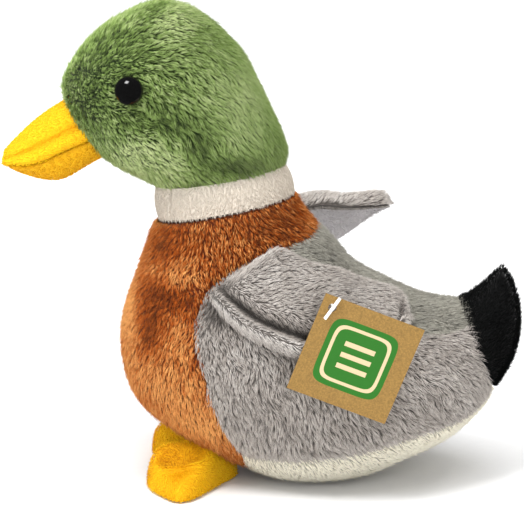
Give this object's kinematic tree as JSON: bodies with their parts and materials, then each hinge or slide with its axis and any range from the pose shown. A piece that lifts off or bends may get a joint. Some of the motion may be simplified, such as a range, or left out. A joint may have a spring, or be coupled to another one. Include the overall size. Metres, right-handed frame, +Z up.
{
  "type": "plush toy",
  "caption": "Seated stuffed plush drake with a padded bill, collar band, hinged padded wings, webbed feet, safety eyes and a hang tag.",
  "frame": {"origin": "middle of the flat of the belly that the toy sits on", "axes": "+Z up, -Y the way the toy faces, +X its left side"},
  "size_m": [0.1385, 0.1921, 0.1765],
  "materials": {
    "green_pile": "matte",
    "white_pile": "matte",
    "brown_pile": "matte",
    "grey_pile": "matte",
    "back_pile": "matte",
    "cream_pile": "matte",
    "black_pile": "matte",
    "yellow_pile": "matte",
    "orange_pile": "matte",
    "lining_cloth": "satin",
    "eye_plastic": "gloss",
    "washer_plastic": "matte",
    "fibre_fill": "matte",
    "bag_cloth": "matte",
    "kraft_card": "matte",
    "fastener_plastic": "satin"
  },
  "bodies": {
    "body": {"head_cover_left": "green_pile", "head_cover_right": "green_pile", "bill_upper": "yellow_pile", "bill_lower": "orange_pile", "collar_band": "white_pile", "breast_cover_left": "brown_pile", "breast_cover_right": "brown_pile", "back_cover": "back_pile", "side_cover_left": "grey_pile", "side_cover_right": "grey_pile", "belly_cover": "cream_pile", "tail_cover_left": "black_pile", "tail_cover_right": "black_pile", "eye_left": "eye_plastic", "eye_right": "eye_plastic", "eye_washer_left": "washer_plastic", "eye_washer_right": "washer_plastic", "head_stuffing": "fibre_fill", "body_stuffing": "fibre_fill", "pellet_bag": "bag_cloth"},
    "wing_left": {"wing_left_cover": "grey_pile", "wing_left_lining": "lining_cloth", "tag_fastener": "fastener_plastic"},
    "wing_right": {"wing_right_cover": "grey_pile", "wing_right_lining": "lining_cloth"},
    "foot_left": {"foot_left_upper": "yellow_pile", "foot_left_sole": "orange_pile"},
    "foot_right": {"foot_right_upper": "yellow_pile", "foot_right_sole": "orange_pile"},
    "tag": {"tag_card": "kraft_card"}
  },
  "joints": [
    {"name": "wing_left_lift", "type": "hinge", "parent": "body", "child": "wing_left", "pos_m": [0.03666, -0.02573, 0.08332], "axis": [0.2541, -0.8602, -0.4421], "range_deg": [0, 90]},
    {"name": "wing_right_lift", "type": "hinge", "parent": "body", "child": "wing_right", "pos_m": [-0.03666, -0.02573, 0.08332], "axis": [0.2541, 0.8602, 0.4421], "range_deg": [-35, 37]},
    {"name": "foot_left_droop", "type": "hinge", "parent": "body", "child": "foot_left", "pos_m": [0.01, -0.027, 0.002], "axis": [0.6712, 0.7413, 0], "range_deg": [0, 30]},
    {"name": "foot_right_droop", "type": "hinge", "parent": "body", "child": "foot_right", "pos_m": [-0.01, -0.027, 0.002], "axis": [0.6712, -0.7413, 0], "range_deg": [0, 30]},
    {"name": "tag_swing", "type": "hinge", "parent": "wing_left", "child": "tag", "pos_m": [0.05842, 0.00639, 0.07458], "axis": [0.9962, 0, -0.087], "range_deg": [-30, 30]}
  ]
}
